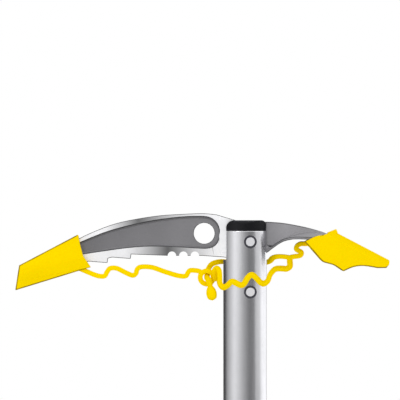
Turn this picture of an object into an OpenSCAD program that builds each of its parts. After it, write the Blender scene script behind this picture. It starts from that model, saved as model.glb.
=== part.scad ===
// Walking ice axe: a forged head riveted into a slotted oval shaft, with a one-piece
// rubber guard stretched over the pick and the adze. +Z runs up the shaft from the tip of
// the spike, the pick points to -X and the adze to +X. All sizes are in millimetres.

/* [Axe] */
// Length from the tip of the spike to the top of the cap
axe_length = 530; // [450:10:740]

/* [Shaft] */
// Width of the oval tube, along the head
shaft_w = 32.6; // [30:0.2:36]
// Thickness of the oval tube, across the head
shaft_t = 21; // [19:0.5:25]
// Wall of the tube
shaft_wall = 1.7; // [1.2:0.1:2.2]
// Depth of the slots in the top of the tube, below the top of the cap
slot_depth = 29.6; // [29.2:0.2:33]
// Height of the cap above the end of the tube
cap_h = 8; // [7:0.5:10]
// Rounding of the cap's corner beside the pick
cap_r_pick = 6; // [4:0.5:7]
// Rounding of the cap's corner beside the adze
cap_r_adze = 3.5; // [2:0.5:5]

/* [Head] */
// Reach of the pick from the axis of the shaft
pick_reach = 165.5; // [161:0.5:170]
// Reach of the adze from the axis of the shaft
adze_reach = 96; // [93:0.5:99]
// Thickness of the head where it passes through the tube
hub_t = 10; // [8:0.5:11]
// Thickness of the head's web where it leaves the tube towards the adze
web_t = 5; // [4:0.2:6]
// Thickness of the pick at the end of its first, steep taper
pick_t_mid = 6.4; // [5:0.2:7.5]
// Thickness of the pick at its point
pick_t_tip = 3.2; // [2.6:0.2:4.4]
// Radius of the carabiner hole
hole_r = 7.8; // [7:0.2:8.4]
// Depth of the forged panel beside the carabiner hole
panel_depth = 1.6; // [0.6:0.1:2.2]
// Draft of the panel's walls, measured along the face
panel_draft = 1.4; // [0.4:0.1:2]
// Slope of the ground border above the panel, as a rise over a run
brow_slope = 0.28; // [0.1:0.02:0.34]
// Slope of the ground border between the panel and the teeth
belly_slope = 0.13; // [0.04:0.01:0.18]
// Pitch of the large teeth
tooth_pitch = 17.4; // [16:0.2:18]
// Step at the back of a large tooth
tooth_step = 3.4; // [2:0.2:4]
// Radius of the three small notches
notch_r = 3.2; // [2.4:0.1:3.4]
// Pitch of the three small notches
notch_pitch = 8.6; // [8:0.1:9.4]
// Width of the tang inside the tube
tang_w = 21; // [18:0.5:23]
// Depth of the tang below the top of the cap
tang_depth = 64; // [62:1:75]
// Half width of the adze's cutting edge
adze_half_w = 26; // [22:0.5:28]

/* [Rivets] */
// Radius of a rivet in the head
rivet_r = 3.25; // [2.5:0.05:3.8]
// Radius of the washer under a rivet
washer_r = 4.8; // [4.3:0.1:5.5]
// Depth of the upper rivet below the top of the cap
rivet_z1 = 16.1; // [15:0.1:18]
// Depth of the lower rivet below the top of the cap
rivet_z2 = 53.7; // [52:0.1:56]
// How far the rivets sit towards the adze from the middle of the tube
rivet_x = 4; // [0:0.5:5]

/* [Spike] */
// Height of the tube's lower end above the tip of the spike
spike_h = 72; // [64:1:90]
// Thickness of the spike's plate
spike_t = 6; // [5:0.5:8]
// Radius of the eyelet in the spike
eyelet_r = 6; // [5:0.5:7]
// Length of the spike's tang inside the tube
spike_tang = 46; // [44:1:60]
// Height of the plastic plug inside the tube
plug_h = 30; // [20:1:40]
// Radius of the rivets in the spike
spike_rivet_r = 2.5; // [2:0.1:3]

/* [Guard] */
// Side of the square moulded strap
strap_d = 3.6; // [3:0.1:3.8]
// Radius of the ring's centre line
ring_r = 4.9; // [4.7:0.1:5.4]
// Thickness of the pick cover at its mouth
pick_cover_t = 13.5; // [12:0.5:17]
// Thickness of the pick cover at its end
pick_cover_end_t = 8.5; // [7.5:0.5:11]
// Half width of the adze cover at its mouth
adze_cover_half_w = 29.5; // [28.5:0.5:32]
// Half width of the adze cover at its end
adze_cover_end_half_w = 28; // [27.5:0.5:31]
// Width of the pull tab on the adze cover
tab_w = 26; // [20:1:30]
// Length of the pull tab on the adze cover
tab_l = 3; // [2.5:0.5:9]
// Radius of the toggle's bulb
toggle_r = 3.9; // [3.6:0.1:4.4]
// Length of the toggle
toggle_l = 11.5; // [11:0.5:14]

/* [Fits] */
// Clearance between pieces that are riveted together
fit = 0.1; // [0.05:0.05:0.3]
// Clearance between a cover and the steel inside it
cover_fit = 0.5; // [0.4:0.05:0.7]

/* [Hidden] */

steel = "#b9b8bd";
alloy = "#c4c4ca";
black = "#222126";
yellow = "#fbda00";

tube_top = axe_length - cap_h;
inner_w = shaft_w - 2 * shaft_wall;
inner_t = shaft_t - 2 * shaft_wall;

// ---- helpers ------------------------------------------------------------------------

// A smooth curve through the points p, with n steps between each pair
function smooth_at(a, b, c, d, t) =
    0.5 * (2 * b + (c - a) * t + (2 * a - 5 * b + 4 * c - d) * t * t
    + (3 * b - a - 3 * c + d) * t * t * t);
function smooth(p, n) = [
    for (i = [0 : len(p) - 2], k = [0 : n - 1])
        smooth_at(p[max(i - 1, 0)], p[i], p[i + 1], p[min(i + 2, len(p) - 1)], k / n),
    p[len(p) - 1]];
function unit(v) = v / norm(v);

// A solid skinned over rings of the same even number of points. A ring runs along one long
// side and back along the other, so its ends close as a strip between the two sides.
module skin(rings) {
    m = len(rings[0]);
    last = (len(rings) - 1) * m;
    strip = [for (k = [0 : m / 2 - 2]) each [[k, k + 1, m - 2 - k], [k, m - 2 - k, m - 1 - k]]];
    polyhedron(
        points = [for (r = rings) each r],
        faces = concat(
            strip,
            [for (f = strip) [last + f[2], last + f[1], last + f[0]]],
            [for (i = [0 : len(rings) - 2], k = [0 : m - 1])
                each [[i * m + k, (i + 1) * m + k, (i + 1) * m + (k + 1) % m],
                      [i * m + k, (i + 1) * m + (k + 1) % m, i * m + (k + 1) % m]]]));
}

// The moulded strap: a square section with cut corners, carried along a curve
strap_corner = 0.5;
function strap_section(d) = let (a = d / 2, b = d / 2 - strap_corner) [
    [a, b], [b, a], [-b, a], [-a, b], [-a, -b], [-b, -a], [b, -a], [a, -b]];
function tangents(p) = [for (i = [0 : len(p) - 1])
    unit(p[min(i + 1, len(p) - 1)] - p[max(i - 1, 0)])];
function across(n, t) = unit(n - (n * t) * t);
module strap(route, start = [0, 1, 0], steps = 2) {
    p = smooth(route, steps);
    t = tangents(p);
    normals = [for (i = 0, n = across(start, t[0]); i < len(p);
                    i = i + 1, n = i < len(p) ? across(n, t[i]) : n) n];
    section = strap_section(strap_d);
    skin([for (i = [0 : len(p) - 1]) let (side = cross(normals[i], t[i]))
        [for (s = section) p[i] + s[0] * side + s[1] * normals[i]]]);
}

// A flat profile in X and Z, given from the top of the cap, extruded across the head
module plate(t) {
    translate([0, t / 2, axe_length])
        rotate([90, 0, 0])
            linear_extrude(t) children();
}

// A straight bore or pin along Y
module pin(x, z, r, l) {
    translate([x, l / 2, z])
        rotate([90, 0, 0]) cylinder(h = l, r = r, $fn = 64);
}

module oval(w, t) {
    scale([1, t / w]) circle(d = w, $fn = 96);
}

// ---- shaft --------------------------------------------------------------------------

module shaft_tube() {
    color(alloy)
    difference() {
        translate([0, 0, spike_h])
            linear_extrude(tube_top - spike_h) oval(shaft_w, shaft_t);
        translate([0, 0, spike_h - 1])
            linear_extrude(tube_top - spike_h + 2) oval(inner_w, inner_t);
        translate([0, 0, axe_length - slot_depth])
            linear_extrude(slot_depth) head_plan(fit);
        head_rivet_bores(rivet_r + fit);
        spike_rivet_bores(spike_rivet_r + fit);
    }
}

module head_rivet_bores(r) {
    for (z = [rivet_z1, rivet_z2])
        pin(rivet_x, axe_length - z, r, 2 * shaft_t);
}

module spike_rivet_bores(r) {
    for (z = [spike_h + 12, spike_h + 34])
        pin(0, z, r, 2 * shaft_t);
}

// The cap closes the tube; the head shows at both of its ends and runs under its middle
cap_bridge = 4;
cap_open_pick = -6.7;
cap_open_adze = 13.5;
// Half width of the oval where its side is cut by a slot of half width y
function oval_at(y) = shaft_w / 2 * sqrt(1 - pow(2 * y / shaft_t, 2));
module shaft_cap() {
    color(black)
    difference() {
        intersection() {
            translate([0, 0, tube_top]) linear_extrude(cap_h) oval(shaft_w, shaft_t);
            plate(2 * shaft_t) cap_outline();
            translate([shaft_w, 0, tube_top])
                rotate([90, 0, -90]) linear_extrude(2 * shaft_w) cap_crown();
        }
        translate([0, 0, tube_top - 1])
            linear_extrude(cap_h + 1 - cap_bridge) head_plan(fit);
        translate([-shaft_w, -hub_t / 2 - fit, tube_top - 1])
            cube([shaft_w + cap_open_pick, hub_t + 2 * fit, cap_h + 2]);
        translate([cap_open_adze, -web_t / 2 - fit, tube_top - 1])
            cube([shaft_w, web_t + 2 * fit, cap_h + 2]);
    }
}

module cap_outline() {
    pick_side = oval_at(hub_t / 2 + fit);
    adze_side = oval_at(web_t / 2 + fit);
    hull() {
        translate([cap_r_pick - pick_side, -cap_r_pick]) circle(cap_r_pick, $fn = 48);
        translate([adze_side - cap_r_adze, -cap_r_adze]) circle(cap_r_adze, $fn = 48);
        translate([-pick_side, -cap_h]) square([pick_side + adze_side, 1]);
    }
}

module cap_crown() {
    crown_r = 3;
    hull() {
        for (side = [-1, 1])
            translate([side * (shaft_t / 2 - crown_r), cap_h - crown_r])
                circle(crown_r, $fn = 32);
        translate([-shaft_t / 2, 0]) square([shaft_t, 1]);
    }
}

// ---- head ---------------------------------------------------------------------------

// The pick and the adze are written for the drawn reaches. Beyond the notches and beyond the
// root of the adze they stretch to the reaches that are set, and the covers stretch with them.
pick_drawn = 165.5;
pick_root = 50;
function pick_x(x) = x > -pick_root ? x
    : -pick_root + (x + pick_root) * (pick_reach - pick_root) / (pick_drawn - pick_root);
function on_pick(points) = [for (q = points) [pick_x(q[0]), q[1]]];
adze_drawn = 96;
adze_root = 24;
function adze_x(x) = x < adze_root ? x
    : adze_root + (x - adze_root) * (adze_reach - adze_root) / (adze_drawn - adze_root);
function on_adze(points) = [for (q = points) [adze_x(q[0]), q[1]]];

pick_point = [-pick_drawn, -47];
pick_brow = [5 - pick_drawn, -33.6];
pick_top = smooth([pick_brow, [-143, -23.2], [-124, -13.4], [-112, -7.9], [-97.7, -2.6],
    [-82.4, 0.9], [-64.2, 3.6], [-48.8, 4.6], [-35.1, 5.2], [-27.8, 5], [-21.4, 4.3]], 3);
neck_end = [-6.9, 0];
saddle_z = -cap_bridge - fit;
tooth_x = -85.8;
tooth_z = -28.9;
tooth_drop = 3.1;
tooth_rise = 1.1;
notch_x = -46.2;
belly_z = -26.6;
adze_root_x = 15;
adze_root_bottom = -26.3;

// One large tooth, from its low point back to the foot of the next step
function tooth_tip(i) = [tooth_x - i * tooth_pitch, tooth_z - i * tooth_drop];
function tooth(i) = [tooth_tip(i) + [0.5, tooth_step], tooth_tip(i),
    tooth_tip(i) + [-0.8 * tooth_pitch, tooth_rise]];
teeth = [for (i = [0 : 3]) each tooth(i)];

module pick_outline() {
    difference() {
        polygon(concat(
            on_pick(pick_top),
            [neck_end, [cap_open_pick - fit, saddle_z], [cap_open_adze, saddle_z],
             [cap_open_adze, -0.7], [adze_root_x, -0.9], [adze_root_x, adze_root_bottom],
             [inner_w / 2 - 4, -slot_depth + 1], [-inner_w / 2 + 4, -slot_depth + 1],
             [-shaft_w / 2, -27.7], [-32, belly_z], [-58, belly_z]],
            on_pick(concat(teeth, [pick_point]))));
        for (i = [-1 : 1])
            translate([notch_x + i * notch_pitch, belly_z]) circle(notch_r, $fn = 48);
    }
}

// Half thickness of the pick at x
taper_start = -20;
taper_mid = -60;
taper_far = -190;
function pick_half_t(x) = x > taper_mid
    ? hub_t / 2 - (hub_t - pick_t_mid) / 2 * (taper_start - x) / (taper_start - taper_mid)
    : pick_t_mid / 2 - (pick_t_mid - pick_t_tip) / 2
        * (taper_mid - x) / (taper_mid + pick_reach);

// The head from above, with a clearance c: thick through the tube, thin towards the pick's
// point and again where the web leaves the tube towards the adze
web_start = 10.8;
web_full = 13.2;
module head_plan(c = 0) {
    side = [[taper_far, pick_half_t(taper_far) + c], [taper_mid, pick_t_mid / 2 + c],
        [taper_start, hub_t / 2 + c], [web_start + c, hub_t / 2 + c],
        [web_full + c, web_t / 2 + c], [2 * shaft_w, web_t / 2 + c]];
    polygon(concat(side, [for (i = [len(side) - 1 : -1 : 0]) [side[i][0], -side[i][1]]]));
}

// The forged panel: an upper and a lower edge with the same number of points
panel_top = smooth([[-128, -18.6], [-107.3, -10], [-90, -4.8], [-68.9, -0.3],
    [-48.8, 2.3], [-34, 2.9], [-26.6, 2], [-21.8, -1.4], [-19.6, -5.6], [-19.1, -9.6]], 3);
panel_bottom = smooth([[-127, -26], [-107, -23], [-88, -20.4], [-70, -19.2],
    [-50, -19.8], [-35, -20.7], [-27, -20.7], [-22, -18.2], [-19.8, -14], [-19.1, -9.8]], 3);

// Depth of the panel at x, full beside the hole and shallower towards the point
panel_vanish = 220;
function panel_depth_at(x) = panel_depth * (x + panel_vanish) / (hole_x + panel_vanish);
function panel_ring(top, bottom, inset, lift) = let (n = len(top))
    [for (i = [0 : n - 1]) let (v = unit(bottom[i] - top[i]), q = top[i] + inset * v)
        [q[0], pick_half_t(q[0]) + lift * panel_depth_at(q[0]), q[1] + axe_length],
     for (i = [n - 1 : -1 : 0]) let (v = unit(bottom[i] - top[i]), q = bottom[i] - inset * v)
        [q[0], pick_half_t(q[0]) + lift * panel_depth_at(q[0]), q[1] + axe_length]];

module panel_pocket() {
    n = len(panel_top);
    top = on_pick([for (i = [0 : n - 2]) panel_top[i]]);
    bottom = on_pick([for (i = [0 : n - 2]) panel_bottom[i]]);
    upper = panel_ring(bottom, top, -0.4 * panel_draft, 0.4);
    floor_ring = panel_ring(bottom, top, panel_draft, -1);
    m = len(upper);
    polyhedron(points = concat(upper, floor_ring), faces = concat(
        [for (k = [0 : m - 1]) each [[k, m + k, m + (k + 1) % m], [k, m + (k + 1) % m, (k + 1) % m]]],
        [for (k = [0 : m / 2 - 2]) each [[k, k + 1, m - 1 - k], [k + 1, m - 2 - k, m - 1 - k]]],
        [for (k = [0 : m / 2 - 2]) each [[m + k, 2 * m - 1 - k, m + k + 1],
                                         [m + k + 1, 2 * m - 1 - k, 2 * m - 2 - k]]]));
}

// The ground borders fall away from the panel. Each is cut by a wedge that starts on a line
// beside the panel, and fades out at the point of the pick and beside the tube.
brow_line = smooth([[-158, -36.4], [-143, -27], [-128, -18], [-107.3, -9.4], [-90, -4.2],
    [-68.9, 0.3], [-48.8, 2.9], [-33, 3.5], [-25, 2.4], [-19, 0.2], [-14, -1.4]], 2);
belly_line = smooth([[-14, -18.2], [-19, -18.4], [-25, -20], [-33, -21.2], [-50, -20.6], [-70, -20],
    [-88, -21.2], [-107, -23.8], [-127, -26.8], [-143, -32.4], [-158, -39.4]], 2);
border_reach = 12;
function fade(x) = max(0.02, min(1, (x + pick_reach) / 40, (-14 - x) / 9));
module border_cut(drawn_line, slope) {
    line = on_pick(drawn_line);
    t = tangents([for (q = line) [q[0], q[1], 0]]);
    skin([for (i = [0 : len(line) - 1]) let (
            q = line[i], n = [-t[i][1], t[i][0]], h = pick_half_t(q[0]),
            drop = slope * fade(q[0]), start = q - n, end = q + border_reach * n)
        [[start[0], h + 4, start[1]], [end[0], h + 4, end[1]],
         [end[0], h - border_reach * drop, end[1]], [start[0], h + drop, start[1]]]]);
}

// The middle of the adze's cutting edge, below the top of the cap
adze_edge_z = -27;

// The adze is a loft. Each station holds its distance along X, the height of the ridge, the
// half width of the web, the height of the crease where the wing leaves the web, the half
// width, the height of the wing's edge, the wing's thickness and the height of the rib.
adze_stations = smooth([
    [web_full + 0.5, -1, web_t / 2 - 0.6, -18, web_t / 2 - 0.3, -21, 3.4, -25.4],
    [16.9, -1.1, web_t / 2 - 0.4, -18.6, web_t / 2 + 0.6, -21.4, 2.6, -24.4],
    [19.8, -1.2, web_t / 2, -18.8, 5.6, -19.9, 1.7, -22],
    [24, -1.5, web_t / 2 + 0.5, -16.4, 9.2, -17, 1.6, -18.9],
    [29, -2, web_t / 2 + 0.9, -13.4, 13, -14, 1.7, -16],
    [35.5, -3.1, web_t / 2 + 1.1, -11.2, 17.5, -12.5, 1.9, -14.5],
    [45, -5, web_t / 2 + 1.2, -9.3, adze_half_w - 4.5, -12.4, 2.1, -14.2],
    [54, -7.4, web_t / 2 + 1.1, -9.5, adze_half_w - 1.8, -13.4, 2.2, -14.6],
    [62, -10.2, 3.4, -11.3, adze_half_w - 0.6, -15.6, 2.2, -16.8],
    [adze_drawn - 16, -19, 3, -19.8, adze_half_w, -24, 2, -24.4],
    [adze_drawn, adze_edge_z, 2.6, adze_edge_z - 0.8, adze_half_w, adze_edge_z - 4.6, 1.5,
     adze_edge_z - 3]], 2);

// A closed ring across the head at x, from half an upper and half a lower outline
function section_ring(x, top, low) = let (n = len(top) - 1) [
    for (q = top) [x, q[0], q[1] + axe_length],
    for (i = [n - 1 : -1 : 0]) [x, -top[i][0], top[i][1] + axe_length],
    for (q = low) [x, -q[0], q[1] + axe_length],
    for (i = [n - 1 : -1 : 0]) [x, low[i][0], low[i][1] + axe_length]];

// The arched section of the blade and of the hollow that it sits in
function arch_ring(x, ridge, web, crease, half_w, edge, wing, rib) = let (
    yc = web + 0.12 * (half_w - web),
    yd = (yc + half_w) / 2,
    zd = crease - 0.36 * (crease - edge))
    section_ring(x,
        [[half_w, edge], [yd, zd], [yc, crease], [web, ridge - 0.3], [0, ridge]],
        [[0.98 * half_w, edge - wing], [yd, zd - wing - 0.1], [yc, crease - wing - 0.3],
         [0.9 * web, crease - wing - 0.6], [0, rib]]);

module adze_blade() {
    skin([for (s = adze_stations)
        arch_ring(adze_x(s[0]), s[1], s[2], s[3], s[4], s[5], s[6], min(s[7], s[3] - s[6] - 0.8))]);
}

module head() {
    color(steel)
    difference() {
        union() {
            intersection() {
                plate(2 * hub_t) pick_outline();
                translate([0, 0, axe_length - tang_depth]) linear_extrude(2 * tang_depth) head_plan();
            }
            adze_blade();
            translate([-tang_w / 2, -hub_t / 2, axe_length - tang_depth])
                cube([tang_w, hub_t, tang_depth - slot_depth + 1.5]);
        }
        for (side = [0, 1]) mirror([0, side, 0]) {
            panel_pocket();
            translate([0, 0, axe_length]) {
                border_cut(brow_line, brow_slope);
                border_cut(belly_line, belly_slope);
            }
        }
        pin(hole_x, axe_length + hole_z, hole_r, 2 * hub_t);
        head_rivet_bores(rivet_r + fit);
    }
}
hole_x = -30.6;
hole_z = -9.8;

// Plastic cheeks fill the tube on both sides of the head's plate
module cheek(side) {
    color(black)
    difference() {
        intersection() {
            translate([0, 0, axe_length - tang_depth])
                linear_extrude(tang_depth - cap_h - fit) oval(inner_w - 2 * fit, inner_t - 2 * fit);
            translate([-shaft_w, side > 0 ? hub_t / 2 + fit : -hub_t / 2 - fit - shaft_t, 0])
                cube([2 * shaft_w, shaft_t, axe_length]);
        }
        head_rivet_bores(rivet_r + fit);
    }
}
module front_packing() { cheek(-1); }
module rear_packing() { cheek(1); }

// ---- rivets -------------------------------------------------------------------------

rivet_proud = 1.2;
washer_t = 0.8;
washer_seat = shaft_t / 2 - 0.35;
module head_rivets() {
    color("#d9d8dd")
    for (z = [rivet_z1, rivet_z2])
        pin(rivet_x, axe_length - z, rivet_r, 2 * (washer_seat + washer_t + 0.2));
}

module rivet_washers() {
    color("#3a393e")
    for (z = [rivet_z1, rivet_z2])
        difference() {
            pin(rivet_x, axe_length - z, washer_r, 2 * (washer_seat + washer_t));
            pin(rivet_x, axe_length - z, rivet_r + fit, 3 * shaft_t);
            translate([0, 0, spike_h]) linear_extrude(axe_length) oval(shaft_w + fit, shaft_t + fit);
        }
}

// ---- spike --------------------------------------------------------------------------

// Half widths of the blade up to its shoulder, as parts of the shoulder's half width
spike_shoulder = inner_w / 2 + 0.2;
spike_neck = inner_w / 2 - 3.2;
spike_side = [[0.22, 9], [0.57, 34], [0.71, 46], [0.88, 58], [1, spike_h - 4], [1, spike_h]];
module spike_outline() {
    half = concat([for (q = spike_side) [q[0] * spike_shoulder, q[1]]],
        [[spike_neck, spike_h], [spike_neck, spike_h + spike_tang]]);
    polygon(concat([[0, 0]], half,
        [for (i = [len(half) - 1 : -1 : 0]) [-half[i][0], half[i][1]]]));
}

module spike() {
    color(steel)
    difference() {
        intersection() {
            translate([0, spike_t / 2, 0])
                rotate([90, 0, 0]) linear_extrude(spike_t) spike_outline();
            translate([-shaft_w, 0, 0])
                rotate([90, 0, 90]) linear_extrude(2 * shaft_w)
                    polygon([[0, 0], [spike_t / 2, spike_grind], [spike_t / 2, 2 * spike_h],
                        [-spike_t / 2, 2 * spike_h], [-spike_t / 2, spike_grind]]);
        }
        pin(0, eyelet_z, eyelet_r, 2 * shaft_t);
        spike_rivet_bores(spike_rivet_r + fit);
    }
}
spike_grind = 26;
eyelet_z = 52;

module spike_plug() {
    color(black)
    difference() {
        translate([0, 0, spike_h + fit])
            linear_extrude(plug_h) oval(inner_w - 2 * fit, inner_t - 2 * fit);
        translate([-spike_neck - fit, -spike_t / 2 - fit, spike_h - 1])
            cube([2 * (spike_neck + fit), spike_t + 2 * fit, plug_h + 3]);
        spike_rivet_bores(spike_rivet_r + fit);
    }
}

module spike_rivets() {
    color("#d9d8dd") intersection() {
        spike_rivet_bores(spike_rivet_r);
        translate([0, 0, spike_h]) linear_extrude(spike_tang)
            oval(shaft_w + rivet_proud, shaft_t + rivet_proud);
    }
}

// ---- guard --------------------------------------------------------------------------

// The pick cover is lofted from the mouth to the blunt end, and hollowed round the pick. Its
// rim bends below the middle of the mouth.
pick_mouth = [[-125, -10.5], [-115.7, -35.2]];
pick_rim = [[-125.1, -10.2], [-123.6, -18], [-121.4, -26.6], [-115.5, -35.4]];
pick_end = [pick_brow + [-8.9, -0.2], pick_point + [-6.8, -5.6]];

// An octagon of the given thickness standing on a line of two points
function octagon(line, t, nose) = [for (s = [
        [0, nose / 2], [0.28, t / 2], [0.66, t / 2], [1, nose / 2 + 0.8],
        [1, -nose / 2 - 0.8], [0.66, -t / 2], [0.28, -t / 2], [0, -nose / 2]])
    let (q = line[0] + s[0] * (line[1] - line[0])) [q[0], s[1], q[1] + axe_length]];

module pick_cover() {
    color(yellow)
    difference() {
        union() {
            skin([octagon(on_pick(pick_mouth), pick_cover_t, 7),
                  octagon(on_pick(pick_end), pick_cover_end_t, 5)]);
            strap(raised(pick_stub), steps = 1);
        }
        pick_cavity();
        plate(2 * pick_cover_t)
            polygon(on_pick(concat(pick_rim, [[-108, -42], [-108, -10]])));
    }
}

// The cavity wraps the pick with clearance and widens towards the mouth
module pick_cavity() {
    c = cover_fit;
    mouth_x = -112;
    end_x = pick_point[0] - 2;
    mouth_half = pick_half_t(pick_x(mouth_x)) + c + 0.3;
    end_half = pick_half_t(pick_x(end_x)) + c;
    sides = [[mouth_x + 12, mouth_half], [end_x, end_half], [end_x, -end_half],
        [mouth_x + 12, -mouth_half]];
    intersection() {
        plate(40) polygon(on_pick([
            pick_point + [-1.2, -c - 0.6], pick_brow + [-1.4, c + 0.6],
            [-143, -23.2 + 2 * c], [-124, -13.4 + 2 * c], [-108, -6 + 2 * c],
            tooth_tip(1) + [0, -c - 2], tooth_tip(2) + [0, -c - 0.1],
            tooth_tip(3) + [-1, -c - 1.3]]));
        translate([0, 0, axe_length - 80]) linear_extrude(100) polygon(on_pick(sides));
    }
}

// The adze cover follows its side outline, and its section arches over the blade. The
// outline's top runs along the slide, and its end lies beyond the adze's edge.
adze_slide = 26.5;
adze_rim = [65.6, -7.7];
adze_cover_outline = concat(
    smooth([[44.3, -16.1], [47.6, -14.3], [50.6, -12.6], [53.6, -11.6], [57.6, -10.9],
        [61.1, -10.2], [63.2, -9.3], adze_rim], 2),
    [[adze_drawn + 12.6, -30.1], [adze_drawn + 11.6, -33.2], [adze_drawn + 9.4, -35.6]],
    smooth([[adze_drawn + 3, -35.7], [88.5, -34.1], [80.7, -35], [73.3, -38.2]], 3),
    [[67.7, -34.4], [65.6, -33.3], [58.6, -31.4], [56.6, -29.7], [48.1, -20]]);
function adze_cover_top(x) = adze_rim[1] - 0.521 * (x - adze_rim[0]);

module adze_cover() {
    color(yellow)
    difference() {
        union() {
            intersection() {
                plate(3 * adze_cover_half_w) polygon(on_adze(adze_cover_outline));
                adze_cover_body();
            }
            strap(raised(adze_stub), steps = 1);
            pull_tab();
        }
        adze_cavity();
        adze_cover_underside();
    }
}

cover_mouth_x = 42;
cover_end_x = 112;
module adze_cover_body() {
    skin([for (x = [cover_mouth_x, 62, 82, 102, cover_end_x]) let (
            z = adze_cover_top(x), f = (x - cover_mouth_x) / (cover_end_x - cover_mouth_x),
            w = adze_cover_half_w + (adze_cover_end_half_w - adze_cover_half_w) * f)
        section_ring(adze_x(x),
            [for (s = [[1, -5.5], [0.94, -4], [0.7, -2.2], [0.3, -0.5], [0, 0]]) [s[0] * w, z + s[1]]],
            [for (s = [1, 0.94, 0.7, 0.3, 0]) [s * w, -60]])]);
}

// The pull tab carries the slanted rim of the mouth on past the top of the cover
tab_t = 3;
tab_angle = 22;
module pull_tab() {
    r = 3;
    translate([adze_x(adze_rim[0]), 0, axe_length + adze_rim[1]])
        rotate([0, -tab_angle, 0]) translate([0, 0, -tab_t])
            linear_extrude(tab_t) hull() {
                translate([-4, -tab_w / 2]) square([1, tab_w]);
                for (side = [-1, 1])
                    translate([tab_l - r, side * (tab_w / 2 - r - 1)]) circle(r, $fn = 32);
            }
}

// The blade's cavity runs along the slide. Its room for the wings and, deeper, for the rib
// grows towards the mouth.
wing_room = [2.8, 4.2, 12];
rib_room = [5.8, 11.8, 16];
cavity_mid_x = 62;
cavity_mouth_x = 36;
function room(sizes, x) = 2 * cover_fit + lookup(x, [
    [cavity_mouth_x, sizes[2]], [cavity_mid_x, sizes[1]], [adze_drawn, sizes[0]]]);
function cavity_ridge(x) = adze_edge_z + tan(adze_slide) * (adze_drawn - x) + 2 * cover_fit;
function cavity_wing(x) = room(wing_room, x);
function cavity_rib(x) = cavity_ridge(x) - room(rib_room, x);
module adze_cavity() {
    c = cover_fit;
    skin([for (x = [cavity_mouth_x, cavity_mid_x, adze_drawn - 16, adze_drawn + 1])
        let (ridge = cavity_ridge(x))
        arch_ring(adze_x(x), ridge, 4 + c, ridge - 0.4, adze_half_w + c + 0.2, ridge - 4.8,
            cavity_wing(x), cavity_rib(x))]);
}

// Under the blade the cover is hollowed between its two cheeks, round a swelling for the rib
cover_wall = 3.4;
cheek = 4.9;
module adze_cover_underside() {
    room_y = adze_cover_half_w - cheek;
    ys = [room_y, room_y - 1.6, room_y / 2, 9, 0];
    skin([for (x = [38, 48, 62, 74, 91]) let (
            wing = cavity_ridge(x) - 4.6 - cavity_wing(x) - cover_wall,
            rib = min(wing, cavity_rib(x) - cover_wall),
            zs = [wing - 5, wing - 1.4, wing + 0.3, rib, rib])
        section_ring(adze_x(x), [for (i = [0 : 4]) [ys[i], zs[i]]], [for (y = ys) [y, -70]])]);
}

// The toggle ring, with the strand in front of the shaft
ring_at = [-28.7, 0, -42.9];
strand_front = [[-23.8, -0.4, -43.2], [-23.9, -1.2, -40.2], [-23.4, -2.2, -37.6],
    [-21.4, -3.4, -35.7], [-19.4, -5, -38], [-19.1, -6.4, -43], [-18.9, -7.4, -47.2],
    [-16.6, -8.4, -50.2], [-13.3, -9.9, -48.9], [-10.1, -11.3, -45.9], [-6.8, -12, -46.9],
    [-3.2, -12.3, -48.6], [-0.6, -12.3, -47.2], [1.8, -12.3, -43.2], [4.9, -12.2, -40.8],
    [8, -11.9, -42.8], [11.4, -10.7, -46.4], [14.2, -9.1, -47.4], [17.1, -6.8, -45.2],
    [18.5, -5.2, -41.4], [20.5, -3.4, -38.5], [23.3, -1.6, -36.4], [28.1, -0.4, -36.2],
    [31, 0, -36.4], [33.6, 0, -34.6], [33.6, 0, -30.3], [33.8, 0, -27.8]];
strand_back = [[33, 0, -27.8], [29, 0.4, -27.3], [24.7, 1.6, -27.2], [21, 3.8, -28.2],
    [18.4, 6.6, -30.8], [13, 9.8, -32.2], [7, 12.5, -32.2], [-7, 12.5, -31.6],
    [-13.6, 9.8, -31.2], [-18.5, 7.2, -31.1], [-22.6, 6.2, -31.9], [-25.4, 6.2, -33.4],
    [-27.4, 5.8, -36.4], [-28.3, 4.4, -40.2], [-28.5, 1.6, -42.3], [-28.4, -1.6, -43.1],
    [-27.7, -4.7, -44.2], [-26.8, -5.4, -46.4], [-26.2, -5.4, -48.8]];
toggle_axis = 10;
pick_stub = [[-125, 0, -35.8], [-117.5, 0, -38.9]];
pick_route = [[-117.4, 0, -39], [-113, 0, -40.8], [-109.1, 0, -41.9], [-105.2, 0, -41.7],
    [-103.4, 0, -38.6], [-100.9, 0, -36], [-96, 0, -36.1], [-90, 0, -39], [-84.4, 0, -41.3],
    [-81.8, 0, -39.8], [-80.9, 0, -36.9], [-78, 0, -35], [-69.8, 0, -35.3], [-60, 0, -38.6],
    [-50.3, 0, -41.5], [-44, 0, -41.9], [-41.9, 0, -39.6], [-39.8, 0, -37.8], [-36, 0, -37.9],
    [-33.6, 0, -38.6], [-32.2, 0, -39.8]];
adze_route = [[33.8, 0, -27.8], [37.1, 0, -27.2], [41.4, 0, -26.4], [42.2, 0, -24],
    [38.6, 0, -21.8], [39.2, 0, -19.2], [41.4, 0, -17.7], [43.7, 0, -17.6]];
adze_stub = [[50, 0, -17.6], [43.9, 0, -17.6]];
function raised(p) = [for (q = p) [adze_x(pick_x(q[0])), q[1], q[2] + axe_length]];

module toggle_ring() {
    translate(ring_at + [0, 0, axe_length])
        rotate([90, 0, 0])
            rotate_extrude($fn = 48)
                translate([ring_r, 0]) square(strap_d, center = true);
}

module loop_strap() {
    color(yellow) {
        toggle_ring();
        strap(raised(strand_front));
    }
}
module tail_strand() { color(yellow) strap(raised(strand_back)); }
module pick_link() { color(yellow) strap(raised(pick_route)); }
module adze_link() { color(yellow) strap(raised(adze_route)); }

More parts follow.
